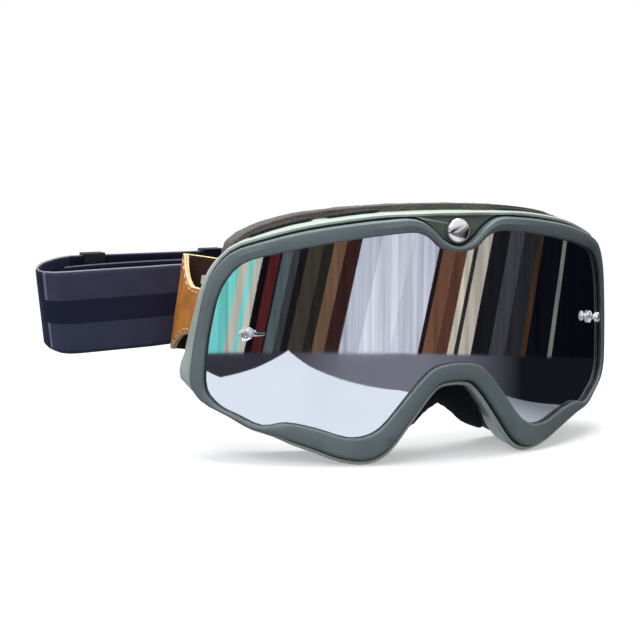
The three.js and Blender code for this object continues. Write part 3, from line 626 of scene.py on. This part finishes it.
def make_lens():
    """The CAD lens made finer, with both faces put exactly on their cylinders."""
    bm = copied_mesh("lens")
    front = bm.verts.layers.float.new("front")
    inner = (LENS_RADIUS - LENS_THICKNESS) * MM

    def radius(v):
        return math.hypot(v.co.x, v.co.y - LENS_AXIS_Y)

    for v in bm.verts:
        v[front] = (radius(v) - inner) / (LENS_THICKNESS * MM)
    bmesh.ops.subdivide_edges(bm, edges=bm.edges, cuts=3, use_grid_fill=True)
    for v in bm.verts:
        scale = (inner + v[front] * LENS_THICKNESS * MM) / radius(v)
        v.co.x *= scale
        v.co.y = LENS_AXIS_Y + (v.co.y - LENS_AXIS_Y) * scale
    lens = finish_bmesh(bm, "mirror_lens", 30)
    set_cylinder_normals(lens.data)
    stands_for(lens, MIRROR, "lens_mirror", "frame", "lens")


def set_cylinder_normals(mesh):
    """Gives both lens faces the exact normals of their cylinders, so that reflections stay smooth."""
    normals = []
    for polygon in mesh.polygons:
        corners = [mesh.vertices[index].co for index in polygon.vertices]
        lifts = [lens_lift(co) for co in corners]
        for co in corners:
            radial = lens_radial(co)
            if min(lifts) > -0.1:
                normals.append(radial)
            elif max(lifts) < 0.1 - LENS_THICKNESS:
                normals.append(-radial)
            else:
                normals.append(polygon.normal.copy())
    mesh.normals_split_custom_set(normals)


def lathe(name, profile, s, z, segments=64):
    """A turned shape, [radius, lift] from its foot to its tip, standing on the lens at s, z."""
    angle = s / LENS_RADIUS
    outward = Vector((math.sin(angle), -math.cos(angle), 0))
    across = outward.cross(Vector((0, 0, 1)))
    foot = wrap(s, z, 0)
    vertices = []
    for radius, lift in profile:
        for k in range(segments):
            turn = 2 * math.pi * k / segments
            offset = (across * math.cos(turn) + Vector((0, 0, 1)) * math.sin(turn)) * radius
            vertices.append(place(foot + outward * lift + offset))
    faces = grid_faces(len(profile), segments, False, True)
    faces.append(tuple(range(segments)))
    faces.append(tuple((len(profile) - 1) * segments + k for k in range(segments)))
    return mesh_object(name, vertices, faces, 50)


def make_rivet():
    rim, shank = RIVET_RADIUS, RIVET_SHANK_RADIUS
    foot, brow = PAD_FRONT_LIFT + RIVET_FOOT_GAP, PAD_FRONT_LIFT + RIVET_EDGE
    rounded_rim = [(rim - 0.25, foot), (rim - 0.05, foot + 0.1), (rim, foot + 0.3)]
    profile = [(shank, RIVET_SHANK_END), (shank, foot), *rounded_rim]
    steps = 18
    for i in range(steps):
        angle = math.pi / 2 * i / steps
        profile.append((rim * math.cos(angle) * 0.995, brow + RIVET_DOME_HEIGHT * math.sin(angle)))
    profile.append((0.05, brow + RIVET_DOME_HEIGHT))
    rivet = lathe("rivet_dome", profile, 0, RIVET_Z)
    stands_for(rivet, CHROME, "chrome_metal", "frame", "nose_rivet")


def make_post(name, node, side):
    curve = catmull_rom([(r, lift, 0) for r, lift in POST_PROFILE], False, 56)
    post = lathe(name, [(max(p.x, 0.02), p.y) for p in curve], side * POST_S, POST_Z, 40)
    stands_for(post, CLEAR, "clear_plastic", "frame", node)


# ---------------------------------------------------------------- foam


def soft_copy(node, name, look, slot, voxel, ripple, grain, inflate):
    """A foam part remeshed finely, with rounded edges and an uneven cut surface."""
    bm = copied_mesh(node)
    made = finish_bmesh(bm, name, None)
    remesh = made.modifiers.new("remesh", "REMESH")
    remesh.mode = "VOXEL"
    remesh.voxel_size = voxel * MM
    soften = made.modifiers.new("soften", "SMOOTH")
    soften.factor = 0.6
    soften.iterations = 6
    apply_modifiers(made)
    roughen(made, ripple, grain, inflate)
    smooth(made.data)
    stands_for(made, look, slot, "frame", node)


def roughen(made, ripple, grain, inflate):
    mesh = made.data
    normals = [v.normal.copy() for v in mesh.vertices]
    for v, normal in zip(mesh.vertices, normals):
        broad = noise.noise(v.co * 160)
        fine = noise.noise(v.co * 1100)
        v.co += normal * (inflate + ripple * broad + grain * fine) * MM
    mesh.update()


def make_foam():
    soft_copy("foam_core", "face_foam", FOAM_BROWN, "brown_foam", 0.8, 0.18, 0.16, 0.15)
    soft_copy("nose_foam", "nose_pad", FOAM_DARK, "dark_foam", 0.6, 0.2, 0.15, 0.2)
    soft_copy("foam_fleece", "face_fleece", FLEECE, "fleece", 0.8, 0.12, 0.12, 0.3)
    for side in ("left", "right"):
        for row in ("inner", "outer"):
            name = f"vent_filter_{side}_{row}"
            soft_copy(name, name + "_mesh", FOAM_DARK, "dark_foam", 0.35, 0.05, 0.1, 0.05)


# ---------------------------------------------------------------- leather loops


def leather_spread(y):
    """How far the loop has widened: 0 at the bar and 1 at its fold, fastest near the fold."""
    low, high = LEATHER_SPREAD_SPAN
    return min(1, max(0, (y - low) / (high - low))) ** LEATHER_SPREAD_POWER


def bar_place(point):
    """A point in the left strap bar's own frame, in the row frame."""
    turned = Matrix.Rotation(BAR_TILT, 3, "Y") @ Vector(point)
    return place(BAR + turned)


def leather_sections():
    """The loop's middle line with its outward direction, height and middle, an even step apart."""
    fine = catmull_rom([(x, y, 0) for x, y in LEATHER_PATH], True, 640)
    line = resample(fine, True, 0.4)
    sections = []
    for i, centre in enumerate(line):
        along = (line[(i + 1) % len(line)] - line[i - 1]).normalized()
        outward = Vector((-along.y, along.x, 0))
        spread = leather_spread(centre.y)
        half = LEATHER_HALF_AT_BAR + (LEATHER_HALF_AT_FOLD - LEATHER_HALF_AT_BAR) * spread
        sections.append((centre, outward, half, LEATHER_RISE * spread))
    return sections


def rounded_strip(inner, outer, half, rows, radius):
    """A ply's section as [depth, height share]: two long sides and two rounded cut edges."""
    middle, reach = (inner + outer) / 2, (outer - inner) / 2
    side = [(outer, -half + radius + (2 * half - 2 * radius) * i / rows) for i in range(rows + 1)]
    cap = []
    for i in range(1, 4):
        angle = math.pi * i / 4
        cap.append((middle + reach * math.cos(angle), half - radius + radius * math.sin(angle)))
    back = [(inner, -z) for _, z in side]
    foot = [(middle - (d - middle), -z) for d, z in cap]
    return side + cap + back + foot


def make_ply(name, offset, look, slot, node, side, body):
    rows = 22
    inner, outer = offset - LEATHER_PLY / 2, offset + LEATHER_PLY / 2
    vertices = []
    sections = leather_sections()
    for centre, outward, half, middle in sections:
        strip = rounded_strip(inner, outer, half, rows, 0.35)
        columns = len(strip)
        for depth, z in strip:
            wave = 0.12 * noise.noise(Vector((centre.x * 0.25, centre.y * 0.25, z * 0.25)))
            point = bar_place(centre + outward * (depth + wave) + Vector((0, 0, z + middle)))
            vertices.append(Vector((side * point.x, point.y, point.z)))
    faces = grid_faces(len(sections), columns, True, True)
    made = mesh_object(name, vertices, faces)
    stands_for(made, look, slot, body, node)
    made.data.materials.append(CUT_EDGE)
    # Each rounded cut edge takes four columns after its long side's rows.
    edge_columns = set(range(rows, rows + 4)) | set(range(2 * rows + 5, columns))
    for i, polygon in enumerate(made.data.polygons):
        if i % columns in edge_columns:
            polygon.material_index = 1


def stitch_points(level):
    """Pairs of points for stitches along one cut edge of the outer ply's outer face."""
    sections = leather_sections()
    depth = LEATHER_GLUE_GAP / 2 + LEATHER_PLY
    line = []
    for centre, outward, half, middle in sections:
        height = level * (half - STITCH_INSET) + middle
        line.append((centre + outward * depth + Vector((0, 0, height)), outward))
    pairs, travelled, start = [], 0.0, None
    for (a, out_a), (b, _) in zip(line, line[1:]):
        if start is None:
            start = (a, out_a)
        travelled += (b - a).length
        if travelled >= STITCH_LENGTH:
            pairs.append((start[0], b, out_a))
            travelled, start = 0.0, None
    return pairs


def capsule(a, b, outward, vertices, faces, transform):
    """Adds one rounded stitch from a to b that dips into the leather at both ends."""
    rings, sides = 7, 8
    along = (b - a).normalized()
    across = along.cross(outward).normalized()
    base = len(vertices)
    for i in range(rings):
        f = i / (rings - 1)
        bow = math.sin(math.pi * f)
        thickness = THREAD_RADIUS * (0.35 + 0.65 * bow ** 0.5)
        centre = a.lerp(b, 0.12 + 0.76 * f) + outward * (bow * 0.28 - 0.18)
        for k in range(sides):
            turn = 2 * math.pi * k / sides
            offset = (across * math.cos(turn) + outward * math.sin(turn)) * thickness
            vertices.append(transform(centre + offset))
    faces.extend(tuple(base + n for n in face) for face in grid_faces(rings, sides, False, True))
    faces.append(tuple(base + k for k in range(sides)))
    faces.append(tuple(base + (rings - 1) * sides + k for k in range(sides)))


def make_stitches(name, side, body):
    vertices, faces = [], []

    def transform(point):
        placed = bar_place(point)
        return Vector((side * placed.x, placed.y, placed.z))

    for level in (1, -1):
        for a, b, outward in stitch_points(level):
            capsule(a, b, outward, vertices, faces, transform)
    made = mesh_object(name, vertices, faces)
    made.data.materials.append(PALE_THREAD)
    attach(made, body)
    return made


def make_leather():
    shift = (LEATHER_PLY + LEATHER_GLUE_GAP) / 2
    for name, side in (("left", 1), ("right", -1)):
        body = name + "_loop"
        make_ply(f"loop_outer_{name}", shift, TAN, "tan_leather", f"leather_outer_{name}", side, body)
        lining = f"leather_lining_{name}"
        make_ply(f"loop_lining_{name}", -shift, SUEDE, "brown_leather", lining, side, body)
        make_stitches(f"loop_stitches_{name}", side, body)


# ---------------------------------------------------------------- strap


def fold_lean(travelled, z):
    """How far the lower edge of the fold leans back and lifts, because the strap is folded askew."""
    near = math.exp(-(((travelled - FOLD_CENTRE) / FOLD_SPAN) ** 2))
    low = 0.5 - z / STRAP_HEIGHT
    return Vector((FOLD_LEAN * low * near, 0, FOLD_LIFT * low ** 2 * near))


def webbing_strip(name, path, look, leans):
    """Woven webbing along a path: ribs across it, a thin selvedge and rounded edges."""
    line = resample(catmull_rom(path, False, 60 * len(path)), False, RIB_PITCH / 4)
    rows = 48
    half, thick = STRAP_HEIGHT / 2, STRAP_THICKNESS / 2
    levels = [half - STRAP_HEIGHT * i / rows for i in range(rows + 1)]
    vertices, coords = [], []
    travelled = 0.0
    for i, centre in enumerate(line):
        ahead, behind = line[min(i + 1, len(line) - 1)], line[max(i - 1, 0)]
        along = (ahead - behind).normalized()
        across = Vector((-along.y, along.x, 0)).normalized()
        travelled += (centre - behind).length if i else 0
        rib = 0.02 * math.sin(2 * math.pi * travelled / RIB_PITCH)
        column = []
        for side in (1, -1):
            for z in levels if side == 1 else reversed(levels):
                edge = 1 - (abs(z) / half) ** 18
                cord = 0.16 * math.exp(-(((abs(z) - half + 1.1) / 0.55) ** 2))
                wale = 0.02 * math.sin(2 * math.pi * z / (2 * WALE_PITCH))
                depth = side * (thick * (0.35 + 0.65 * edge) + cord + (rib + wale) * edge - 0.12)
                column.append((depth, z))
        for depth, z in column:
            shift = fold_lean(travelled, z) if leans else Vector()
            vertices.append(place(centre + across * depth + Vector((0, 0, z)) + shift))
            coords.append((travelled * MM, 0.5 - z / STRAP_HEIGHT))
    columns = 2 * (rows + 1)
    faces = grid_faces(len(line), columns, False, True)
    faces.append(tuple(range(columns)))
    faces.append(tuple((len(line) - 1) * columns + k for k in range(columns)))
    made = mesh_object(name, vertices, faces, 60)
    layer = made.data.uv_layers.new(name="weave")
    indices = np.zeros(len(made.data.loops), np.int32)
    made.data.loops.foreach_get("vertex_index", indices)
    layer.data.foreach_set("uv", np.array(coords, np.float32)[indices].ravel())
    made.data.materials.append(look)
    return made


def make_strap():
    front = webbing_strip("strap_front_webbing", STRAP_FRONT_PATH, STRIPED, True)
    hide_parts("strap_front", "strap_fold")
    bend_start, bend_end = map(place, FRONT_BEND)
    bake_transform(front)
    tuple(bend_start)
    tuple(bend_end)
    rear = webbing_strip("strap_rear_webbing", STRAP_REAR_PATH, DARK_WEB, False)
    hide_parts("strap_rear", "strap_end_right")
    rear_start, rear_end = map(place, REAR_BEND)
    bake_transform(rear)
    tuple(rear_start)
    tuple(rear_end)
    tail = webbing_strip("strap_tail_webbing", STRAP_TAIL_PATH, DARK_WEB, False)
    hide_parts("strap_tail")
    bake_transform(tail)
    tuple(bend_start)
    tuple(bend_end)
    for name, body in (("slider_fold", "fold_slider"), ("slider_rear", "rear_slider")):
        buckle = hard_part(name, name + "_buckle", 0.35)
        stands_for(buckle, BUCKLE, "slider_plastic", body, name)


# ---------------------------------------------------------------- remaining CAD nodes


def paint(node, look):
    slots = NODES[node].data.materials
    slots.clear()
    slots.append(look)


def paint_cad_nodes():
    paint("lens_seal", RUBBER_AND_PAINTED_SHADE)
    paint("foam_base", FOAM_BROWN)
    paint("strap_bar_left", STEEL)
    paint("strap_bar_right", STEEL)


# ---------------------------------------------------------------- studio


def camera_axes():
    back = Vector((
        math.sin(CAMERA_AZIMUTH) * math.cos(CAMERA_ELEVATION),
        -math.cos(CAMERA_AZIMUTH) * math.cos(CAMERA_ELEVATION),
        math.sin(CAMERA_ELEVATION),
    ))
    right = Vector((0, 0, 1)).cross(back).normalized()
    up = back.cross(right)
    turned_right = right * math.cos(CAMERA_ROLL) + up * math.sin(CAMERA_ROLL)
    turned_up = up * math.cos(CAMERA_ROLL) - right * math.sin(CAMERA_ROLL)
    return turned_right, turned_up, back


def make_camera():
    data = bpy.data.cameras.new("camera")
    data.lens = CAMERA_LENS
    data.sensor_width = 36
    data.clip_start, data.clip_end = 0.01, 50
    camera = link("camera", data)
    right, up, back = camera_axes()
    turn = Matrix((right, up, back)).transposed().to_4x4()
    camera.matrix_world = Matrix.Translation(place(CAMERA_TARGET) + back * CAMERA_DISTANCE * MM) @ turn
    bpy.context.scene.camera = camera


def area_light(name, location, target, size, power):
    data = bpy.data.lights.new(name, "AREA")
    data.shape = "DISK"
    data.size = size
    data.energy = power
    light = link(name, data)
    light.location = location
    aim = Vector(target) - Vector(location)
    light.rotation_euler = aim.to_track_quat("-Z", "Y").to_euler()


# The even light that matt surfaces receive from above, from the sides and from below.
SOFT_TOP = (0.92, 0.95, 0.94, 1)
SOFT_LEFT = (0.88, 0.97, 1.12, 1)
SOFT_RIGHT = (0.46, 0.47, 0.38, 1)
SOFT_BELOW = (0.05, 0.06, 0.09, 1)

# The room that the mirror lens sees: upright panels, [azimuth of the left edge in degrees, colour].
# They lean by PANEL_LEAN degrees of azimuth for each degree above PANEL_FOOT, and stand on a table.
PANEL_LEAN = -2.1
PANEL_FOOT = -4.85
PANEL_REACH = 120
TABLE_EDGE = (-8.44, -8.36)
CEILING_EDGE = (4, 30)
STUDIO_PANELS = [
    (-120, srgb(150, 170, 165)), (-80, srgb(236, 238, 236)), (-63.5, srgb(120, 216, 206)),
    (-56.5, srgb(196, 192, 176)), (-53, srgb(124, 222, 214)), (-51, srgb(204, 200, 186)),
    (-48, srgb(18, 14, 20)), (-45.5, srgb(84, 34, 34)), (-41.8, srgb(26, 28, 32)),
    (-41, srgb(84, 96, 98)), (-37, srgb(58, 62, 64)), (-34, srgb(30, 26, 28)),
    (-31, srgb(64, 58, 50)), (-26, srgb(40, 38, 34)), (-22, srgb(112, 84, 66)),
    (-17, srgb(56, 34, 32)), (-12, srgb(196, 198, 210)), (-4, srgb(222, 224, 234)),
    (8, srgb(208, 210, 222)), (19.5, srgb(34, 26, 30)),
    (21.5, srgb(118, 80, 62)), (27, srgb(92, 60, 48)), (31, srgb(208, 198, 180)),
    (34.5, srgb(44, 46, 48)), (36.5, srgb(196, 186, 170)), (42, srgb(28, 28, 32)),
    (50, srgb(66, 66, 70)), (58, srgb(42, 42, 46)), (66, srgb(70, 48, 34)),
    (68.5, srgb(14, 16, 22)), (82, srgb(120, 118, 112)), (85, srgb(10, 12, 20)),
]


def fill_ramp(elements, stops):
    while len(elements) > 1:
        elements.remove(elements[-1])
    for i, (position, colour) in enumerate(stops):
        element = elements[0] if i == 0 else elements.new(position)
        element.position = position
        element.color = colour


def make_world():
    """White to the camera, an even grey to soft rays and a dim room with panels to mirror rays."""
    world = bpy.data.worlds.new("studio")
    bpy.context.scene.world = world
    world.use_nodes = True
    tree = world.node_tree
    tree.nodes.clear()

    def add(kind, inputs=None, **settings):
        made = tree.nodes.new("ShaderNode" + kind)
        for key, value in settings.items():
            setattr(made, key, value)
        for key, value in (inputs or {}).items():
            if isinstance(value, bpy.types.NodeSocket):
                tree.links.new(value, made.inputs[key])
            else:
                made.inputs[key].default_value = value
        return made

    def calc(operation, a, b=0.0):
        return add("Math", {0: a, 1: b}, operation=operation).outputs[0]

    def blend(fac, a, b):
        return add("Mix", {0: fac, 6: a, 7: b}, data_type="RGBA").outputs[2]

    def span(value, low, high, to_low=0.0, to_high=1.0):
        inputs = {"Value": value, "From Min": low, "From Max": high, "To Min": to_low, "To Max": to_high}
        return add("MapRange", inputs, clamp=True).outputs[0]

    direction = add("TexCoord").outputs["Generated"]
    parts = add("SeparateXYZ", {0: direction})
    x, y, z = parts.outputs
    azimuth = calc("MULTIPLY", calc("ARCTAN2", x, calc("MULTIPLY", y, -1.0)), 180 / math.pi)
    elevation = calc("MULTIPLY", calc("ARCSINE", z), 180 / math.pi)
    leaned = calc("ADD", azimuth, calc("MULTIPLY", calc("ADD", elevation, -PANEL_FOOT), PANEL_LEAN))
    ramp = add("ValToRGB", {0: span(leaned, -PANEL_REACH, PANEL_REACH)})
    ramp.color_ramp.interpolation = "CONSTANT"
    stops = [((angle + PANEL_REACH) / (2 * PANEL_REACH), colour) for angle, colour in STUDIO_PANELS]
    fill_ramp(ramp.color_ramp.elements, stops)
    stretched = add("Mapping", {"Vector": direction, "Scale": (26, 26, 5)}).outputs[0]
    clutter = add("TexNoise", {"Vector": stretched, "Scale": 1.0, "Detail": 3}).outputs["Fac"]
    shade = span(clutter, 0.25, 0.75, 0.6, 1.25)
    shade_colour = add("CombineColor", {0: shade, 1: shade, 2: shade}).outputs[0]
    tinted = {0: 1.0, 6: ramp.outputs[0], 7: shade_colour}
    walls = add("Mix", tinted, data_type="RGBA", blend_type="MULTIPLY").outputs[2]
    table_tone = blend(span(azimuth, -40, -15), srgb(56, 56, 64), srgb(122, 122, 132))
    table_tone = blend(span(azimuth, 15, 60), table_tone, srgb(22, 24, 30))
    room = blend(span(elevation, *TABLE_EDGE, 1, 0), walls, table_tone)
    room = blend(span(elevation, *CEILING_EDGE), room, (0.95, 0.96, 1.0, 1))
    path = add("LightPath")
    sides = blend(span(x, -0.7, 0.5), SOFT_LEFT, SOFT_RIGHT)
    upper = blend(span(z, 0.0, 0.9), sides, SOFT_TOP)
    soft = blend(span(z, -0.25, 0.0), SOFT_BELOW, upper)
    seen = blend(path.outputs["Is Diffuse Ray"], room, soft)
    seen = blend(path.outputs["Is Camera Ray"], seen, (1, 1, 1, 1))
    background = add("Background", {"Color": seen, "Strength": 1.0})
    out = add("OutputWorld")
    tree.links.new(background.outputs[0], out.inputs[0])


def floor_look():
    """Pale paper that brightens to plain white away from the object."""
    look = Look("floor")
    coords = look.add("TexCoord").outputs["Object"]
    distance = look.add("VectorMath", {0: coords}, operation="LENGTH").outputs["Value"]
    paper = look.mix(look.noise(400, 3), srgb(250, 250, 250), srgb(246, 246, 247))
    look.set(look.shader, {"Base Color": paper, "Roughness": 0.9, "Specular IOR Level": 0.1})
    glow = look.add("Emission", {"Color": (1, 1, 1, 1), "Strength": 1.0}).outputs[0]
    share = look.ramp(distance, 0.22, 0.5, 0.35, 1.0)
    mixed = look.add("MixShader", {0: share, 1: look.shader.outputs[0], 2: glow}).outputs[0]
    out = look.tree.nodes["Material Output"]
    look.tree.links.new(mixed, out.inputs["Surface"])
    return look.material


FLOOR_REACH = 6.0

# A white sheet on the floor that only mirrors see, [x, y] in metres. It darkens to its right.
SHEET_CORNERS = [
    (-0.5, 0.6), (-0.297, -0.131), (-0.262, -0.15), (-0.252, -0.22), (-0.245, -0.318), (-0.173, -0.295),
    (-0.007, -0.26), (0.127, -0.189), (0.142, -0.104), (0.16, 0.6),
]


def sheet_look():
    look = Look("paper_sheet")
    tone = look.mix(look.noise(6, 2), srgb(246, 249, 255), srgb(232, 237, 248))
    coords = look.add("TexCoord").outputs["Object"]
    x = look.add("SeparateXYZ", {0: coords}).outputs[0]
    tone = look.mix(look.ramp(x, 0.03, 0.13, 0, 0.85), tone, srgb(92, 94, 100))
    glow = look.add("Emission", {"Color": tone, "Strength": 1.0}).outputs[0]
    look.tree.links.new(glow, look.tree.nodes["Material Output"].inputs["Surface"])
    return look.material


def make_floor(level):
    corners = [(-1, -1), (1, -1), (1, 1), (-1, 1)]
    floor = mesh_object(
        "floor", [(x * FLOOR_REACH, y * FLOOR_REACH, level) for x, y in corners], [(0, 1, 2, 3)]
    )
    floor.data.materials.append(floor_look())
    floor.visible_glossy = False
    floor.visible_diffuse = False
    sheet = mesh_object(
        "paper_sheet",
        [(x, y, level) for x, y in SHEET_CORNERS],
        [tuple(range(len(SHEET_CORNERS)))],
    )
    sheet.data.materials.append(sheet_look())
    sheet.visible_camera = False
    sheet.visible_diffuse = False
    sheet.visible_shadow = False
    sheet.visible_transmission = False


def make_lights():
    centre = place((-20, 30, 5))
    area_light("key", centre + Vector((-0.5, -0.35, 0.6)), centre, 0.5, 3)
    area_light("top", centre + Vector((0.05, 0.1, 0.9)), centre, 0.8, 8)


# ---------------------------------------------------------------- assembly

make_frame_body()
make_bezel()
make_lens()
make_rivet()
make_post("post_left", "tear_off_post_left", -1)
make_post("post_right", "tear_off_post_right", 1)
make_foam()
make_leather()
make_strap()
paint_cad_nodes()
make_camera()
make_world()
make_floor(cad_low.z)
make_lights()
bpy.context.scene.view_settings.view_transform = "Standard"
